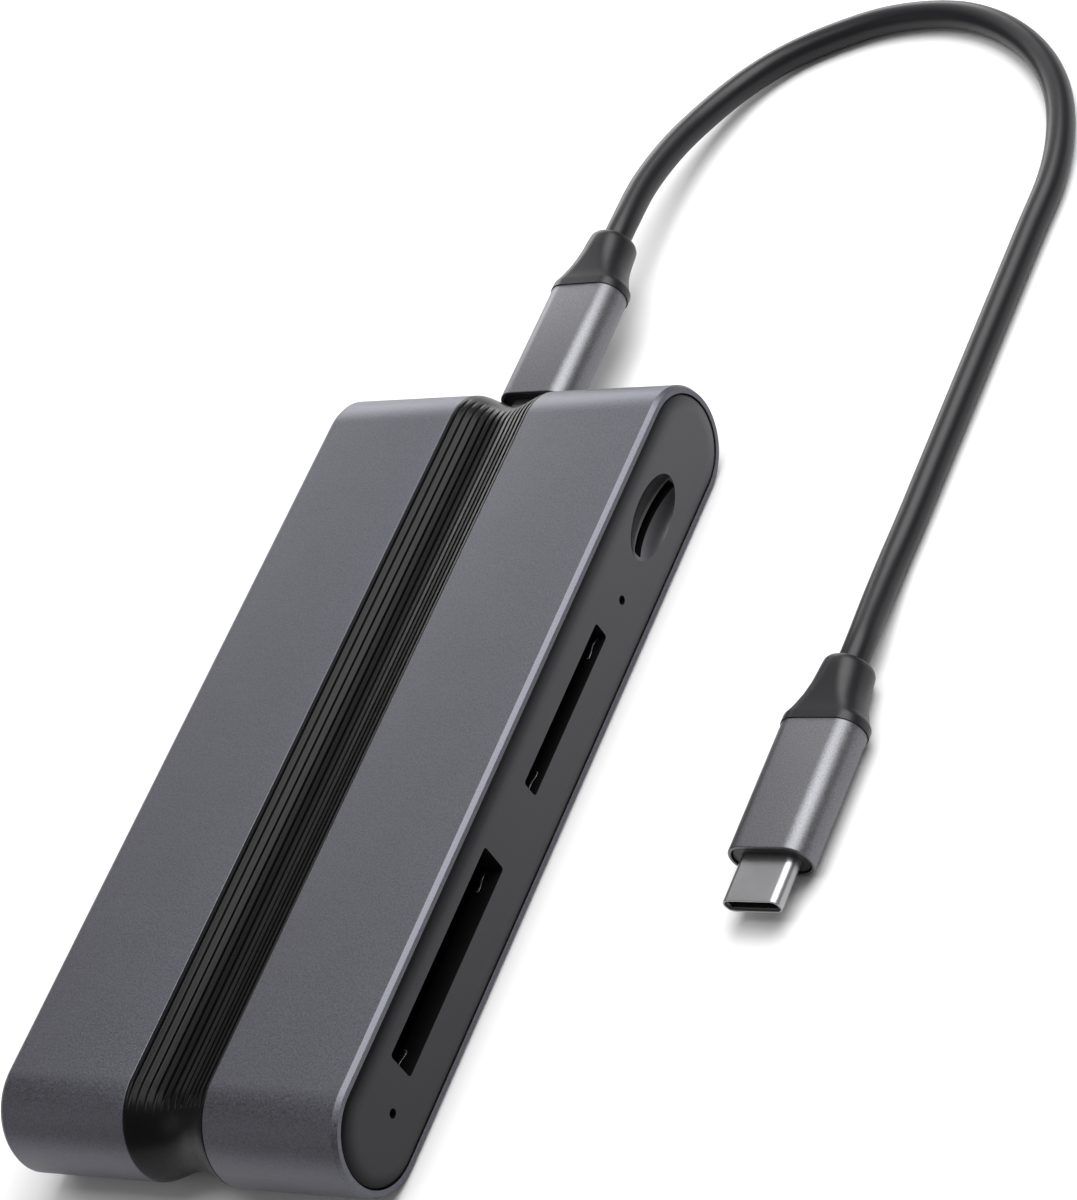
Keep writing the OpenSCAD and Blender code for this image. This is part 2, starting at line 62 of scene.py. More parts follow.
def make_camera():
    """A long lens at the photograph's viewing angle, set by the directions of its own axes."""
    data = bpy.data.cameras.new("camera")
    data.lens = 137.43
    data.sensor_width = 36
    camera = bpy.data.objects.new("camera", data)
    scene.collection.objects.link(camera)
    right = Vector((0.798396, 0.361100, -0.481841))
    down = Vector((-0.014821, -0.788196, -0.615246))
    ahead = Vector((-0.601951, 0.498351, -0.623940))
    spot = Vector((369.3, -266.2, 376.1)) * MM
    turn = Matrix((right, -down, -ahead)).transposed()
    camera.matrix_world = Matrix.Translation(spot) @ turn.to_4x4()
    scene.camera = camera


make_camera()


# ---------------------------------------------------------------- mesh helpers

def mesh_piece(name, verts, faces, sharp=SHARP):
    """A mesh from points in millimetres, smooth except at edges sharper than the angle."""
    mesh = bpy.data.meshes.new(name)
    mesh.from_pydata([tuple(c * MM for c in v) for v in verts], [], faces)
    bm = bmesh.new()
    bm.from_mesh(mesh)
    bmesh.ops.remove_doubles(bm, verts=bm.verts, dist=MERGE)
    bmesh.ops.dissolve_degenerate(bm, edges=bm.edges, dist=MERGE)
    bmesh.ops.recalc_face_normals(bm, faces=bm.faces)
    bm.to_mesh(mesh)
    bm.free()
    obj = bpy.data.objects.new(name, mesh)
    scene.collection.objects.link(obj)
    smooth(obj, sharp)
    return obj


def smooth(obj, sharp=SHARP):
    """Shades an object smooth, except at edges sharper than the angle."""
    obj.data.polygons.foreach_set("use_smooth", [True] * len(obj.data.polygons))
    obj.data.set_sharp_from_angle(angle=math.radians(sharp))


def grid_faces(rings, count, closed_ring=True, closed_rings=False, caps=(False, False)):
    """Faces between neighbouring rings of count points each, and over the first and last ring."""
    faces = []
    last = rings if closed_rings else rings - 1
    across = count if closed_ring else count - 1
    for i in range(last):
        a = i * count
        b = (i + 1) % rings * count
        for k in range(across):
            n = (k + 1) % count
            faces.append((a + k, a + n, b + n, b + k))
    if caps[0]:
        faces.append(tuple(range(count)))
    if caps[1]:
        faces.append(tuple((rings - 1) * count + k for k in range(count)))
    return faces


def arc(cx, cy, r, a0, a1, steps):
    """Points on an arc, in degrees, both ends included."""
    out = []
    for i in range(steps + 1):
        a = math.radians(a0 + (a1 - a0) * i / steps)
        out.append((cx + r * math.cos(a), cy + r * math.sin(a)))
    return out


def fillet(points, radii, steps=4):
    """A closed flat outline with each corner rounded to its own radius."""
    out = []
    for i, r in enumerate(radii):
        p = Vector(points[i])
        if r <= 0:
            out.append(tuple(p))
            continue
        a = (Vector(points[i - 1]) - p).normalized()
        b = (Vector(points[(i + 1) % len(points)]) - p).normalized()
        half = a.angle(b) / 2
        reach = r / math.tan(half)
        centre = p + (a + b).normalized() * r / math.sin(half)
        p0 = p + a * reach - centre
        p1 = p + b * reach - centre
        for k in range(steps + 1):
            t = k / steps
            v = (p0 * (1 - t) + p1 * t).normalized() * r
            out.append(tuple(centre + v))
    return out


def stadium(w, h, steps=20):
    """Points round a stadium, width along the first axis."""
    c = (w - h) / 2
    return arc(c, 0, h / 2, -90, 90, steps) + arc(-c, 0, h / 2, 90, 270, steps)


def apply_modifiers(obj):
    """Makes an object's modifiers final."""
    graph = bpy.context.evaluated_depsgraph_get()
    mesh = bpy.data.meshes.new_from_object(obj.evaluated_get(graph))
    old = obj.data
    obj.modifiers.clear()
    obj.data = mesh
    bpy.data.meshes.remove(old)


def cut(obj, cutters):
    """Takes the cutters out of obj and deletes them. The new walls keep the cutters' materials."""
    for cutter in cutters:
        m = obj.modifiers.new("cut", "BOOLEAN")
        m.material_mode = "TRANSFER"
        m.operation = "DIFFERENCE"
        m.solver = "EXACT"
        m.object = cutter
    apply_modifiers(obj)
    for cutter in cutters:
        bpy.data.objects.remove(cutter)


def soften(obj, width):
    """Rounds the sharp edges by a hair, as stamped edges are."""
    m = obj.modifiers.new("bevel", "BEVEL")
    m.width = width * MM
    m.segments = 2
    m.limit_method = "ANGLE"
    m.angle_limit = math.radians(40)
    w = obj.modifiers.new("normals", "WEIGHTED_NORMAL")
    w.keep_sharp = True
    smooth(obj, 60)
    apply_modifiers(obj)


def level_face(obj, side):
    """Gives a cap's flat face its exact normal at every corner, so that it shades as one."""
    mesh = obj.data
    outward = Vector((side, 0, 0))
    near = 0.002    # mm
    normals = [Vector(corner.vector) for corner in mesh.corner_normals]
    for face in mesh.polygons:
        depths = [abs(mesh.vertices[v].co.x) / MM for v in face.vertices]
        if all(abs(depth - FACE) < near for depth in depths):
            for i in face.loop_indices:
                normals[i] = outward
    mesh.normals_split_custom_set(normals)


# ---------------------------------------------------------------- sizes from the frame

shell_lo, shell_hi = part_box("right_shell")
HALF_BAND = shell_lo.x / MM
HALF_W = shell_hi.x / MM
END = shell_hi.y / MM
TALL = shell_hi.z / MM
MID = TALL / 2              # height of the middle plane
OUTER = TALL / 2            # radius of the round ends
END_Y = END - OUTER         # where the round ends start
INNER = OUTER - 1.1         # radius inside the sleeve's wall
FACE = HALF_W + 0.45        # top of the caps' domed faces
VALLEY = 1.77               # depth of the valley along the band
CORD_D = 3.9


def track(name, stations, closed=True, steps=48, ends=(False, False), sharp=SHARP):
    """Sweeps an outline round the body. stations(angle) gives the outline's (x, r) points there.
    r is taken from the middle of a round end, and angle 0 points straight out of that end."""
    angles = [(1, -90 + 180 * i / steps) for i in range(steps + 1)]
    angles += [(-1, 90 - 180 * i / steps) for i in range(steps + 1)]
    verts = []
    count = 0
    for side, a in angles:
        points = stations(a)
        count = len(points)
        s, c = math.sin(math.radians(a)), math.cos(math.radians(a))
        for x, r in points:
            verts.append((x, side * (END_Y + r * c), MID + r * s))
    rings = len(angles)
    faces = grid_faces(rings, count, closed_ring=closed, closed_rings=True)
    if ends[0]:
        faces.append(tuple(i * count for i in range(rings)))
    if ends[1]:
        faces.append(tuple(i * count + count - 1 for i in range(rings)))
    return mesh_piece(name, verts, faces, sharp)


# ---------------------------------------------------------------- materials

def node(tree, kind, **settings):
    n = tree.nodes.new(kind)
    for key, value in settings.items():
        setattr(n, key, value)
    return n


def noise(tree, scale, detail=2.0, rough=0.5, stretch=None):
    """Noise in the piece's own coordinates, stretched along its axes if asked."""
    where = tree.nodes.get("where") or node(tree, "ShaderNodeTexCoord", name="where")
    source = where.outputs["Object"]
    if stretch:
        m = node(tree, "ShaderNodeMapping")
        m.inputs["Scale"].default_value = stretch
        tree.links.new(source, m.inputs["Vector"])
        source = m.outputs["Vector"]
    n = node(tree, "ShaderNodeTexNoise")
    n.inputs["Scale"].default_value = scale
    n.inputs["Detail"].default_value = detail
    n.inputs["Roughness"].default_value = rough
    tree.links.new(source, n.inputs["Vector"])
    return n.outputs["Fac"]


def remap(tree, source, low, high, in_low=0.3, in_high=0.7):
    """A ramp from low to high while the source runs from in_low to in_high."""
    r = node(tree, "ShaderNodeMapRange")
    r.inputs["From Min"].default_value = in_low
    r.inputs["From Max"].default_value = in_high
    r.inputs["To Min"].default_value = low
    r.inputs["To Max"].default_value = high
    tree.links.new(source, r.inputs["Value"])
    return r.outputs["Result"]


def color_sockets(sockets):
    return [s for s in sockets if s.type == "RGBA"]


def blend_colors(tree, factor, a, b):
    m = node(tree, "ShaderNodeMix", data_type="RGBA")
    tree.links.new(factor, m.inputs["Factor"])
    for socket, color in zip(color_sockets(m.inputs), (a, b)):
        socket.default_value = (*color, 1)
    return color_sockets(m.outputs)[0]


def bump(tree, source, strength, distance):
    b = node(tree, "ShaderNodeBump")
    b.inputs["Strength"].default_value = strength
    b.inputs["Distance"].default_value = distance
    tree.links.new(source, b.inputs["Height"])
    return b.outputs["Normal"]


def material(name, color, color2, rough, rough2, metallic=0.0, grain=9000, grain_depth=0.00001,
             grain_strength=0.25, stretch=None, specular=0.5, sparkle=0.25):
    """A colour drifting slowly between two, with a fine grain in colour, gloss and bump."""
    mat = bpy.data.materials.new(name)
    mat.use_nodes = True
    tree = mat.node_tree
    shader = tree.nodes["Principled BSDF"]
    shader.inputs["Metallic"].default_value = metallic
    shader.inputs["Specular IOR Level"].default_value = specular
    drift = noise(tree, 120, 3)
    fine = noise(tree, grain, 2, 0.6, stretch)
    tone = blend_colors(tree, remap(tree, drift, 0, 1), color, color2)
    speck = node(tree, "ShaderNodeMix", data_type="RGBA", blend_type="MULTIPLY")
    speck.inputs["Factor"].default_value = 0.35
    under, over = color_sockets(speck.inputs)
    tree.links.new(tone, under)
    tree.links.new(remap(tree, fine, 1 - sparkle, 1 + sparkle), over)
    tree.links.new(color_sockets(speck.outputs)[0], shader.inputs["Base Color"])
    tree.links.new(remap(tree, fine, rough, rough2), shader.inputs["Roughness"])
    tree.links.new(bump(tree, fine, grain_strength, grain_depth), shader.inputs["Normal"])
    return mat


def math_node(tree, operation, a, b=0):
    """One operation on two numbers or sockets."""
    n = node(tree, "ShaderNodeMath", operation=operation)
    for socket, value in zip(n.inputs, (a, b)):
        if isinstance(value, (int, float)):
            socket.default_value = value
        else:
            tree.links.new(value, socket)
    return n.outputs[0]


def split_xyz(tree, source):
    n = node(tree, "ShaderNodeSeparateXYZ")
    tree.links.new(source, n.inputs[0])
    return n.outputs


SEAM_PAINTED_SHADE = 0.4                 # how dark the painted shade makes a cap beside its seam
SEAM_START, SEAM_END = 5.4, 7.0 # where the painted seam shade starts and ends, from the middle of the round end, in mm


def paint_shade_on_cap(mat, specular, down, along):
    """Paints shade into a cap's colour and specular level beside its seam and where it looks down,
    and paints light and shade along Y.
    A ramp is the painted shade factor at its start and end, then its start and end. Along Y these
    are in mm."""
    tree = mat.node_tree
    shader = tree.nodes["Principled BSDF"]
    where = tree.nodes["where"]
    spot = split_xyz(tree, where.outputs["Object"])
    facing = split_xyz(tree, where.outputs["Normal"])

    past_end = math_node(tree, "SUBTRACT", math_node(tree, "ABSOLUTE", spot[1]), END_Y * MM)
    past_end = math_node(tree, "MAXIMUM", past_end, 0)
    above = math_node(tree, "SUBTRACT", spot[2], MID * MM)
    squares = math_node(tree, "ADD", math_node(tree, "POWER", past_end, 2),
                        math_node(tree, "MULTIPLY", above, above))
    reach = math_node(tree, "SQRT", squares)

    seam = remap(tree, reach, 1, SEAM_PAINTED_SHADE, SEAM_START * MM, SEAM_END * MM)
    below = remap(tree, facing[2], *down)
    length = remap(tree, spot[1], *along[:2], along[2] * MM, along[3] * MM)
    shade = math_node(tree, "MULTIPLY", math_node(tree, "MULTIPLY", seam, below), length)
    level = math_node(tree, "MULTIPLY", shade, specular)
    tree.links.new(level, shader.inputs["Specular IOR Level"])

    plain = shader.inputs["Base Color"].links[0].from_socket
    scale = node(tree, "ShaderNodeVectorMath", operation="SCALE")
    tree.links.new(plain, scale.inputs[0])
    tree.links.new(shade, scale.inputs["Scale"])
    tree.links.new(scale.outputs[0], shader.inputs["Base Color"])


CAP_COLORS = (0.015, 0.015, 0.020), (0.017, 0.017, 0.022)

# By slot: the two colours and the two roughness values, then what differs from plain plastic.
MATS = {
    "sleeve": material(
        "anodised_sleeve", (0.112, 0.112, 0.130), (0.116, 0.116, 0.135), 0.40, 0.56, metallic=1.0,
        grain=4200, grain_depth=0.00003, grain_strength=0.3, sparkle=0.7),
    "band": material(
        "band_black", (0.002, 0.002, 0.002), (0.003, 0.003, 0.003), 0.26, 0.34,
        grain=6000, grain_strength=0.12, specular=0.14),
    "cap": material("cap_plastic", *CAP_COLORS, 0.36, 0.44, grain_strength=0.2),
    # The same plastic on the finger dish's walls, which gets its own painted shade below.
    "dish": material("cap_dish", *CAP_COLORS, 0.36, 0.44, grain_strength=0.2),
    "frame_plastic": material(
        "frame_plastic", (0.02, 0.02, 0.02), (0.03, 0.03, 0.03), 0.5, 0.6),
    "board": material("board_mask", (0.01, 0.07, 0.03), (0.015, 0.09, 0.04), 0.25, 0.4),
    "steel": material(
        "connector_steel", (0.32, 0.32, 0.33), (0.38, 0.38, 0.39), 0.28, 0.4, metallic=1.0,
        grain=3000, stretch=(1, 14, 14)),
    # A near-black copy of the steel for the socket metal deep in the card slots: painted shade.
    "painted_shade_steel": material(
        "socket_steel_painted_shade", (0.02, 0.02, 0.021), (0.03, 0.03, 0.031), 0.4, 0.5, metallic=1.0,
        grain=3000, stretch=(1, 14, 14)),
    "contact_gold": material(
        "contact_gold", (0.75, 0.52, 0.2), (0.8, 0.58, 0.25), 0.2, 0.3, metallic=1.0),
    "usb_blue": material("port_blue", (0.02, 0.07, 0.28), (0.03, 0.09, 0.33), 0.4, 0.5),
    "chip": material(
        "chip_black", (0.008, 0.008, 0.008), (0.012, 0.012, 0.012), 0.55, 0.7, specular=0.25),
    # Near black for the walls inside cut slots and holes: painted shade, much darker than the cap's
    # own plastic.
    "shade": material(
        "slot_wall_painted_shade", (0.0015, 0.0015, 0.0015), (0.0025, 0.0025, 0.0025), 0.7, 0.8,
        specular=0.1),
    "ceramic": material("capacitor_ceramic", (0.28, 0.18, 0.1), (0.35, 0.24, 0.14), 0.4, 0.5),
    "ferrite": material("coil_ferrite", (0.05, 0.05, 0.055), (0.08, 0.08, 0.085), 0.5, 0.6),
    "pad": material("thermal_pad", (0.2, 0.3, 0.4), (0.25, 0.35, 0.45), 0.7, 0.8),
    "spreader": material(
        "spreader_aluminium", (0.6, 0.6, 0.62), (0.68, 0.68, 0.7), 0.3, 0.4, metallic=1.0,
        grain=2500, stretch=(20, 1, 20)),
    "led": material("led_lens", (0.75, 0.74, 0.68), (0.8, 0.79, 0.73), 0.15, 0.2, grain=4000),
    "light_guide": material(
        "light_guide", (0.006, 0.006, 0.006), (0.01, 0.01, 0.01), 0.3, 0.35, specular=0.2),
    "slider_plastic": material(
        "slider_nylon", (0.55, 0.53, 0.45), (0.6, 0.58, 0.5), 0.45, 0.55),
    "plug_metal": material(
        "plug_aluminium", (0.150, 0.150, 0.162), (0.158, 0.158, 0.170), 0.38, 0.5, metallic=1.0,
        grain=5500, grain_depth=0.00003, grain_strength=0.35, sparkle=0.8),
    "plug_core": material(
        "plug_black", (0.012, 0.012, 0.012), (0.018, 0.018, 0.018), 0.45, 0.55),
    "cord": material(
        "cord_jacket", (0.005, 0.005, 0.0068), (0.006, 0.006, 0.0078), 0.34, 0.42,
        grain=5000, grain_strength=0.12, specular=0.32),
}

# Painted shade on the cap plastic: darker beside the seam and where it looks down, darker towards
# the front and lighter towards the back along Y.
paint_shade_on_cap(MATS["cap"], 0.5, down=(0.45, 1, -0.4, -0.02), along=(0.55, 1.1, -60, 40))
# Painted shade in the finger dish: its down-facing upper wall darker, lighter towards the front and
# darker towards the back along Y.
paint_shade_on_cap(MATS["dish"], 0.6, down=(0.2, 1, -0.1, -0.004), along=(1.4, 0.45, 35.5, 45))


def paint(obj, slot):
    """Gives an object one material all over."""
    obj.data.materials.clear()
    obj.data.materials.append(MATS[slot])
    return obj


def in_shade(cutter):
    """Paints the walls that this cutter leaves near black, as painted shade inside the hole."""
    return paint(cutter, "shade")


def stand_for(obj, slot, body, *replaced):
    """Hangs a piece on its body, in place of the CAD nodes named last."""
    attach(obj, body)
    if replaced:
        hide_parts(*replaced)
    return obj


def place(obj, slot, body, *replaced):
    """Paints a piece all over, then hangs it on its body."""
    return stand_for(paint(obj, slot), slot, body, *replaced)


for part in frame["record"]["subparts"]:
    paint(frame["nodes"][part["node"]], part["material_slot"])
# The metal seen through the card slots gets a near-black copy of the steel, as painted shade inside
# the slots.
for name in ("cfexpress_rails", "sd_cover", "microsd_cover"):
    paint(frame["nodes"][name], "painted_shade_steel")


# ---------------------------------------------------------------- cable

PORT_X = -0.6
PLUG_Y = END + 0.4          # the near plug's shoulder, just outside the port
PLUG_L = 19.2
PLUG_W, PLUG_H = 11.8, 5.9
NOSE_L, NOSE_W, NOSE_H = 6.6, 8.25, 2.4
RELIEF_L = 9.9
FREE_X, FREE_Y, FREE_Z = 62.7, -9.0, 3.4
CORD_Z = CORD_D / 2         # height of the cord's middle where it lies on the table
START_Y = PLUG_Y + PLUG_L + RELIEF_L
FINISH_Y = FREE_Y + PLUG_L + RELIEF_L

# The middle of the cord, from the hub's plug to the free one.
ROUTE = [
    (PORT_X, START_Y, MID), (PORT_X, 94, MID), (-1, 101.5, 7.6), (-0.5, 109.5, 6.2), (1, 117, 4.5),
    (4, 124.5, 2.9), (9, 130, 2.1), (16, 133.5, CORD_Z), (23.5, 135.5, CORD_Z), (32, 135.5, CORD_Z),
    (39.5, 133.5, CORD_Z), (46.5, 129.5, CORD_Z), (52.5, 124, CORD_Z), (57, 117.5, CORD_Z),
    (60, 110, CORD_Z), (61.5, 102, CORD_Z), (61.5, 93, CORD_Z), (61.5, 83, CORD_Z),
    (61.5, 73, CORD_Z), (61.5, 63, CORD_Z), (61.5, 53, CORD_Z), (61.5, 44, CORD_Z), (61.5, 37, 2.1),
    (62, 30, 2.7), (FREE_X, 24, FREE_Z), (FREE_X, FINISH_Y, FREE_Z),
]


def smooth_route(points, per_span=6):
    """A Catmull-Rom curve through the points."""
    last = len(points) - 1
    out = []
    for i in range(last):
        a, b, c, d = (Vector(points[max(0, min(last, i + k))]) for k in (-1, 0, 1, 2))
        for k in range(per_span):
            t = k / per_span
            out.append((2 * b + (c - a) * t + (2 * a - 5 * b + 4 * c - d) * t * t
                        + (3 * b - a - 3 * c + d) * t ** 3) / 2)
    out.append(Vector(points[last]))
    return out


def make_cord():
    """A round tube along the route. Also gives back its path in metres and its length in mm."""
    centres = smooth_route(ROUTE)
    last = len(centres) - 1
    sides = 28
    verts = []
    for i, p in enumerate(centres):
        ahead = (centres[min(i + 1, last)] - centres[max(i - 1, 0)]).normalized()
        side = ahead.cross(Vector((0, 0, 1))).normalized()
        up = side.cross(ahead)
        for k in range(sides):
            a = 2 * math.pi * k / sides
            verts.append(tuple(p + (side * math.cos(a) + up * math.sin(a)) * CORD_D / 2))
    faces = grid_faces(len(centres), sides, caps=(True, True))
    cord = mesh_piece("cord_jacket", verts, faces)
    place(cord, "cord", "cable", "host_cable")
    length = sum((centres[i + 1] - centres[i]).length for i in range(last))
    return cord, [tuple(p * MM) for p in centres], length


def stadium_loft(name, at, stations, closed=False, steps=24, sharp=SHARP):
    """Stadium sections along Y about a point, each given as (y, width, height).
    Closed, the last joins the first and makes a tube with a wall. Open, both ends are capped."""
    verts = []
    for y, w, h in stations:
        for x, z in stadium(w, h, steps):
            verts.append((at[0] + x, at[1] + y, at[2] + z))
    count = 2 * (steps + 1)
    faces = grid_faces(len(stations), count, closed_rings=closed, caps=(not closed, not closed))
    return mesh_piece(name, verts, faces, sharp)


def ring_stations(w, h, outline):
    """Stations of a hollow stadium tube from a closed outline of (y, inset) points."""
    return [(y, w - 2 * i, h - 2 * i) for y, i in outline]


# The strain relief's outline: distance from the plug, half width, half height.
RELIEF = [
    (0, 6.03, 3.08), (1.0, 6.03, 3.08), (1.3, 5.93, 3.08), (1.65, 5.65, 3.06), (2.35, 5.24, 3.05),
    (2.95, 4.95, 3.07), (3.95, 4.48, 3.1), (4.95, 4.16, 3.15), (5.95, 3.9, 3.2), (6.95, 3.73, 3.26),
    (7.95, 3.6, 3.32), (8.8, 3.5, 3.34), (9.35, 3.42, 3.3), (9.7, 3.2, 3.1), (9.88, 2.85, 2.78),
]


def make_plug(which, at):
    """A plug along Y, its shoulder at the given point and its nose towards -Y."""
    tag = which + "_"
    cad = which + "_plug_"

    wall = fillet([(0, 0), (0, 0.45), (PLUG_L, 0.45), (PLUG_L, 0)], [0.16, 0.1, 0, 0.06])
    sleeve = stadium_loft(tag + "plug_shell", at, ring_stations(PLUG_W, PLUG_H, wall),
                          closed=True, steps=32)
    place(sleeve, "plug_metal", "cable", cad + "sleeve")

    profile = [(0, 5.85, 2.9)] + RELIEF + [(RELIEF_L, 2.3, 2.25)]
    stations = [(PLUG_L + y, 2 * a, 2 * min(a, b)) for y, a, b in profile]
    boot = stadium_loft(tag + "plug_boot", at, stations, steps=32, sharp=50)
    place(boot, "cord", "cable", cad + "relief")

    wall = fillet([(-NOSE_L, 0), (-NOSE_L, 0.25), (1.9, 0.25), (1.9, 0)], [0.12, 0.1, 0, 0])
    nose = stadium_loft(tag + "plug_tip", at, ring_stations(NOSE_W, NOSE_H, wall), closed=True)
    place(nose, "steel", "cable", cad + "nose")

    core = stadium_loft(tag + "plug_collar", at, [
        (0.35, 8.26, 2.41), (0.3, 8.4, 2.55), (0.3, 10.5, 4.6), (0.45, 10.86, 4.96),
        (PLUG_L - 0.2, 10.86, 4.96), (PLUG_L - 0.2, 8.3, 2.45)], closed=True)
    place(core, "plug_core", "cable", cad + "core")
    return [sleeve, boot, nose, core]


near_pieces = make_plug("hub", (PORT_X, PLUG_Y, MID))
far_pieces = make_plug("free", (FREE_X, FREE_Y, FREE_Z))
cord, cord_path, cord_length = make_cord()


# ---------------------------------------------------------------- sleeves and band

CHAMFER_L, CHAMFER_H = 0.65, 0.4        # the mouth's chamfer, along and down


def shell_outline(side):
    """A sleeve's wall, with the chamfer round its mouth."""
    corners = [(HALF_BAND, INNER), (HALF_BAND, OUTER), (HALF_W - CHAMFER_L, OUTER),
               (HALF_W, OUTER - CHAMFER_H), (HALF_W, INNER)]
    points = fillet(corners, [0, 0.1, 0.12, 0.08, 0.06])
    return [(side * x, r) for x, r in points]


right = track("right_sleeve", lambda a: shell_outline(1))
place(right, "sleeve", "hub", "right_shell")
left = track("left_sleeve", lambda a: shell_outline(-1))
place(left, "sleeve", "hub", "left_shell")

GROOVES = 12
PITCH = 1.035
GROOVE_W = 0.35
GROOVE_D = 0.3
GROOVE_EDGE = 0.12                      # width over which a groove's wall slopes
FADE_START, FADE_LENGTH = 4.8, 4.6      # from the middle of a round end, measured outwards
BAND_INNER = 5.6                        # radius inside the band
BAND_FIT = 0.9985                       # a hair of play between the sleeves


def ease(t):
    """Runs smoothly from 0 to 1 while t does."""
    t = max(0, min(1, t))
    return t * t * (3 - 2 * t)


def valley(x):
    """Depth of the band's valley at a distance from its middle."""
    return VALLEY * ((1 + math.cos(math.pi * x / HALF_BAND)) / 2) ** (2 / 3)


def groove(x):
    """Extra depth where the nearest groove runs."""
    nearest = min(abs(x - (i - (GROOVES - 1) / 2) * PITCH) for i in range(GROOVES))
    return GROOVE_D * ease((GROOVE_W / 2 + GROOVE_EDGE / 2 - nearest) / GROOVE_EDGE)


def band_outline(a):
    """The band's section, whose grooves fade out over the start of each round end."""
    fade = ease((FADE_START - OUTER * math.cos(math.radians(a))) / FADE_LENGTH)
    samples = 200
    lip = 0.12
    points = []
    for i in range(samples + 1):
        x = -HALF_BAND + 2 * HALF_BAND * i / samples
        edge = max(0, abs(x) - (HALF_BAND - lip)) / lip
        depth = valley(x) + groove(x) * fade + 0.1 * edge * edge
        points.append((x * BAND_FIT, OUTER - depth))
    return points + [(HALF_BAND * BAND_FIT, BAND_INNER), (-HALF_BAND * BAND_FIT, BAND_INNER)]


band = track("ribbed_band", band_outline, steps=60, sharp=40)


def bar(points, count):
    """A cutter between two outlines of count points each, one after the other."""
    return mesh_piece("cutter", points, grid_faces(2, count, caps=(True, True)))


def port_cutter(at, w, h, depth, axis):
    """A stadium-shaped cutter running along Y or X."""
    outline = stadium(w, h)
    verts = []
    for end in (-depth, depth):
        for u, v in outline:
            along, across = (end, u) if axis == "x" else (u, end)
            verts.append((at[0] + along, at[1] + across, at[2] + v))
    return bar(verts, len(outline))


cut(band, [port_cutter((PORT_X, END, MID), 9.1, 3.26, 5, "y")])
smooth(band, 40)
place(band, "band", "hub", "center_band")


# ---------------------------------------------------------------- end caps

RIM = INNER - 0.15          # radius inside the seam
DOME, DOME_W = 0.55, 2.7    # how far the face swells, and over what width
PLATE = 3                   # thickness of a cap
LEDGE = 0.8                 # how deep in the mouth its skirt stops
ROUND = 0.16                # radius of its edge
USB_A_Y = {"rear": 15, "front": -8}
POWER_Y = 36
LIGHT_Y = (27.6, -49.65)

# Each slot's middle in Y and Z, then its width and height.
CFEXPRESS = (-29.2, 10, 30.5, 4.65)
SD = (9.4, 9.15, 25, 2.8)
MICROSD = (40.6, 8.3, 12, 1.3)


def cap_blank(name, side):
    """A plate in the sleeve's mouth, whose face swells from a flush edge inside a narrow seam."""
    steps = 9
    slope = [FACE - DOME * (1 - i / steps) ** 2.6 for i in range(steps + 1)]
    skirt, back = INNER - 0.05, HALF_W - LEDGE
    points = [(FACE - PLATE, skirt), (back, skirt), (back, RIM)]
    points += arc(slope[0] - ROUND, RIM - ROUND, ROUND, 90, 24, 4)
    points += [(x, RIM - DOME_W * i / steps) for i, x in enumerate(slope) if i > 0]
    return track(name, lambda a: [(side * x, r) for x, r in points], closed=False,
                 ends=(True, True), sharp=50)


def face_cutter(y, z, outline, side=1):
    """A cutter through a cap's face, from an outline about a point on it."""
    depths = (FACE - 4.5, FACE + 1)
    return bar([(side * x, y + u, z + v) for x in depths for u, v in outline], len(outline))


def slot_cutter(y, z, w, h, r, side=1):
    """A rectangle with round corners."""
    outline = []
    for cx, cz, a in ((w / 2 - r, h / 2 - r, 0), (r - w / 2, h / 2 - r, 90),
                      (r - w / 2, r - h / 2, 180), (w / 2 - r, r - h / 2, 270)):
        outline += arc(cx, cz, r, a, a + 90, 5)
    return face_cutter(y, z, outline, side)


def hole_cutter(y, z, r):
    """A circle of 24 points."""
    return face_cutter(y, z, arc(0, 0, r, 0, 345, 23))


DISH_Y, DISH_Z, DISH_DEPTH = 40.3, 8.95, 1.4
DISH_HALF_W, DISH_HALF_H = 6.6, 3.62


def dish_cutter():
    """A squashed ball, its middle in front of the face, that cuts the finger dish's oval there."""
    back = 1.2
    deep = back + DISH_DEPTH
    grow = 1 / math.sqrt(1 - (back / deep) ** 2)
    bm = bmesh.new()
    bmesh.ops.create_uvsphere(bm, u_segments=64, v_segments=48, radius=1)
    turn = Matrix.Rotation(math.radians(90), 4, "Y")
    scale = Matrix.Diagonal((deep * MM, DISH_HALF_W * grow * MM, DISH_HALF_H * grow * MM, 1))
    where = Matrix.Translation(Vector((FACE + back, DISH_Y, DISH_Z)) * MM)
    bmesh.ops.transform(bm, matrix=where @ scale @ turn, verts=bm.verts)
    mesh = bpy.data.meshes.new("cutter")
    bm.to_mesh(mesh)
    bm.free()
    obj = bpy.data.objects.new("cutter", mesh)
    scene.collection.objects.link(obj)
    return obj


right_cap = paint(cap_blank("card_slot_cap", 1), "cap")
cut(right_cap, [
    paint(dish_cutter(), "dish"),
    in_shade(slot_cutter(*MICROSD, 0.3)),
    in_shade(slot_cutter(*SD, 0.45)),
    in_shade(slot_cutter(*CFEXPRESS, 0.45)),
    in_shade(hole_cutter(LIGHT_Y[0], 7.9, 0.62)),
    in_shade(hole_cutter(LIGHT_Y[1], 7.9, 0.62)),
])
smooth(right_cap, 30)
level_face(right_cap, 1)
stand_for(right_cap, "cap", "hub", "right_end_cap")

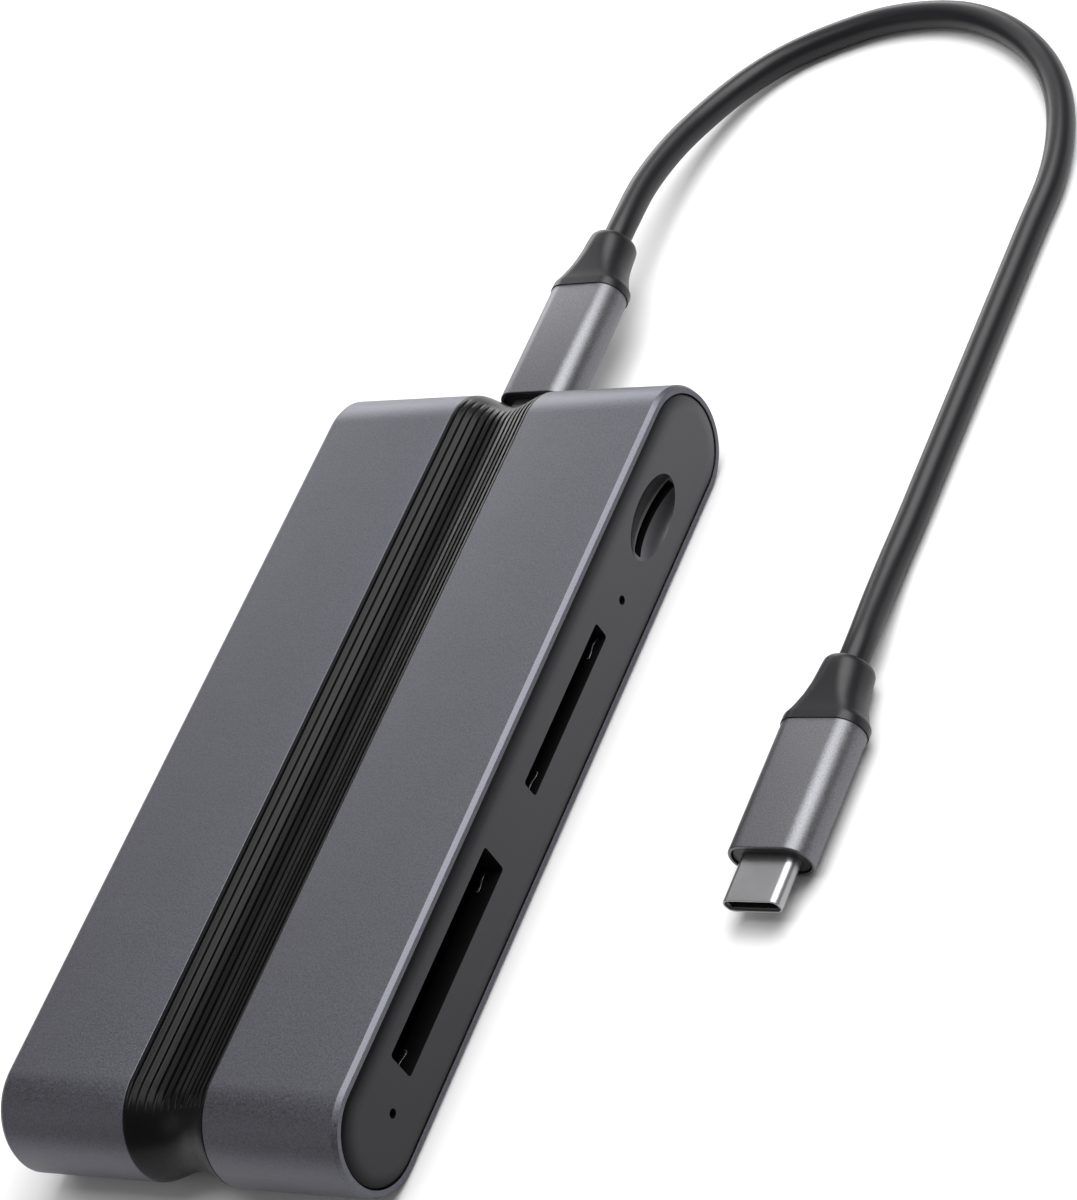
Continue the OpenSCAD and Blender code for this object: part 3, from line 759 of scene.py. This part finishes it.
left_cap = paint(cap_blank("port_cap", -1), "cap")
cut(left_cap, [
    in_shade(slot_cutter(USB_A_Y["rear"], 9.1, 13.2, 5.8, 0.1, -1)),
    in_shade(slot_cutter(USB_A_Y["front"], 9.1, 13.2, 5.8, 0.1, -1)),
    in_shade(port_cutter((-FACE, POWER_Y, MID), 9.06, 3.22, 5, "x")),
])
smooth(left_cap, 30)
level_face(left_cap, -1)
stand_for(left_cap, "cap", "hub", "left_end_cap")


# ---------------------------------------------------------------- contacts and springs

def strip(name, path, width_axis, width, thick, slot):
    """A thin metal strip along a path of points, as wide as given along one axis."""
    wide = Vector(width_axis) * width / 2
    verts = []
    for i, p in enumerate(path):
        a = Vector(path[max(i - 1, 0)])
        b = Vector(path[min(i + 1, len(path) - 1)])
        up = (b - a).normalized().cross(wide.normalized()) * thick / 2
        p = Vector(p)
        corners = (p + wide + up, p - wide + up, p - wide - up, p + wide - up)
        verts += [tuple(corner) for corner in corners]
    piece = mesh_piece(name, verts, grid_faces(len(path), 4, caps=(True, True)))
    soften(piece, thick * 0.25)
    return place(piece, slot, "hub")


def bent_finger(name, y0, y1, x, z):
    """A sprung finger on the floor of a card slot, raised in the middle and hooked at its end."""
    rise = 0.3
    path = []
    for i in range(13):
        t = i / 12
        lift = 0.06 + rise * math.sin(math.pi * min(1, t * 1.15)) ** 2
        path.append((x, y0 + (y1 - y0) * t, z + lift))
    path.append((x - 0.1, y1 + (y1 - y0) * 0.02, z + rise * 0.9))
    strip(name, path, (1, 0, 0), 0.3, 0.1, "steel")


for tag, card, x in (("cfexpress", CFEXPRESS, FACE - 2.3), ("sd", SD, FACE - 1.3)):
    y, z, width, height = card
    z -= height / 2
    bent_finger(tag + "_finger_rear", y + width / 2 - 0.05, y + width / 2 - 3.6, x, z)
    bent_finger(tag + "_finger_front", y - width / 2 + 0.05, y - width / 2 + 3.6, x, z)

# A USB-A port's four strips, bent up at both ends, as (distance inwards, height).
USB_A_STRIP = ((0, 9.52), (0.3, 9.44), (6.5, 9.44), (7, 9.5))
for tag, y in USB_A_Y.items():
    for i, off in enumerate((-3.5, -1, 1, 3.5)):
        x = -FACE + 2
        path = [(x + inwards, y + off, z) for inwards, z in USB_A_STRIP]
        strip(f"usb_a_{tag}_contact_{i + 1}", path, (0, 1, 0), 1.0, 0.1, "contact_gold")

# The two rows of a USB-C port's tongue, twelve strips each.
USB_C_STRIP = (1.9, 3.6, 5.9)
for i in range(12):
    off = (i - 5.5) * 0.5
    for side, level in (("upper", 1), ("lower", -1)):
        z = MID + level * 0.36
        path = [(-FACE + inwards, POWER_Y + off, z) for inwards in USB_C_STRIP]
        strip(f"power_port_{side}_contact_{i + 1}", path, (0, 1, 0), 0.24, 0.05, "contact_gold")
        y = END - VALLEY - 0.25
        path = [(PORT_X + off, y - inwards, z) for inwards in USB_C_STRIP]
        strip(f"host_port_{side}_contact_{i + 1}", path, (1, 0, 0), 0.24, 0.05, "contact_gold")


def eject_spring():
    """One wound wire in place of the CAD model's rings."""
    lo, hi = (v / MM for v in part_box("microsd_spring"))
    wire = 0.2
    turns, per_turn, around = 8, 20, 8
    mean = (hi.z - lo.z) / 2 - wire / 2
    middle = (lo + hi) / 2
    verts = []
    for i in range(turns * per_turn + 1):
        a = 2 * math.pi * i / per_turn
        out = Vector((0, math.cos(a), math.sin(a)))
        x = lo.x + wire / 2 + (hi.x - lo.x - wire) * i / (turns * per_turn)
        for k in range(around):
            b = 2 * math.pi * k / around
            p = Vector((x, middle.y, middle.z)) + out * (mean + wire / 2 * math.cos(b))
            verts.append((p.x + wire / 2 * math.sin(b), p.y, p.z))
    faces = grid_faces(turns * per_turn + 1, around, caps=(True, True))
    spring = mesh_piece("eject_coil", verts, faces)
    place(spring, "steel", "hub", "microsd_spring")
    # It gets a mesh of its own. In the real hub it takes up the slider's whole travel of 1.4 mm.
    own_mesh(spring)


eject_spring()


# ---------------------------------------------------------------- floor and light

def make_floor():
    reach = 3.0 / MM
    level = -0.02
    corners = ((-reach, -reach), (reach, -reach), (reach, reach), (-reach, reach))
    floor = mesh_piece("floor", [(x, y, level) for x, y in corners], [(0, 1, 2, 3)])
    mat = bpy.data.materials.new("pale_floor")
    mat.use_nodes = True
    tree = mat.node_tree
    shader = tree.nodes["Principled BSDF"]
    shader.inputs["Specular IOR Level"].default_value = 0.2
    drift = remap(tree, noise(tree, 3, 3), 0, 1)
    tone = blend_colors(tree, drift, (0.86, 0.86, 0.86), (0.88, 0.88, 0.88))
    tree.links.new(tone, shader.inputs["Base Color"])
    tree.links.new(remap(tree, noise(tree, 800, 2), 0.75, 0.85), shader.inputs["Roughness"])
    floor.data.materials.append(mat)


def area_light(name, at, aim, size, power):
    """A white panel that the camera does not see, in metres and watts."""
    data = bpy.data.lights.new(name, "AREA")
    data.shape = "RECTANGLE"
    data.size, data.size_y = size
    data.energy = power
    light = bpy.data.objects.new(name, data)
    light.location = at
    light.visible_camera = False
    light.rotation_euler = (Vector(aim) - Vector(at)).to_track_quat("-Z", "Y").to_euler()
    scene.collection.objects.link(light)


def make_world(strength):
    world = bpy.data.worlds.new("studio")
    world.use_nodes = True
    sky = world.node_tree.nodes["Background"]
    sky.inputs["Strength"].default_value = strength
    sky.inputs["Color"].default_value = (1, 1, 1, 1)
    scene.world = world


make_floor()
make_world(0.25)
scene.view_settings.view_transform = "Standard"
area_light("main", at=(0.26, 0.45, 0.78), aim=(0.02, 0.03, 0), size=(0.9, 0.6), power=10.5)
area_light("overhead", at=(0, -0.05, 1.2), aim=(0, -0.02, 0), size=(0.6, 0.6), power=4)
area_light("top_sheen", at=(-0.62, 0.54, 0.64), aim=(0, 0.02, 0), size=(0.8, 0.5), power=0.75)
area_light("behind", at=(-0.65, 0.84, 0.2), aim=(0, 0.03, 0), size=(0.8, 0.3), power=4.6)
area_light("front_fill", at=(-0.62, -0.62, 0.5), aim=(0, -0.04, 0), size=(0.7, 0.5), power=0.6)
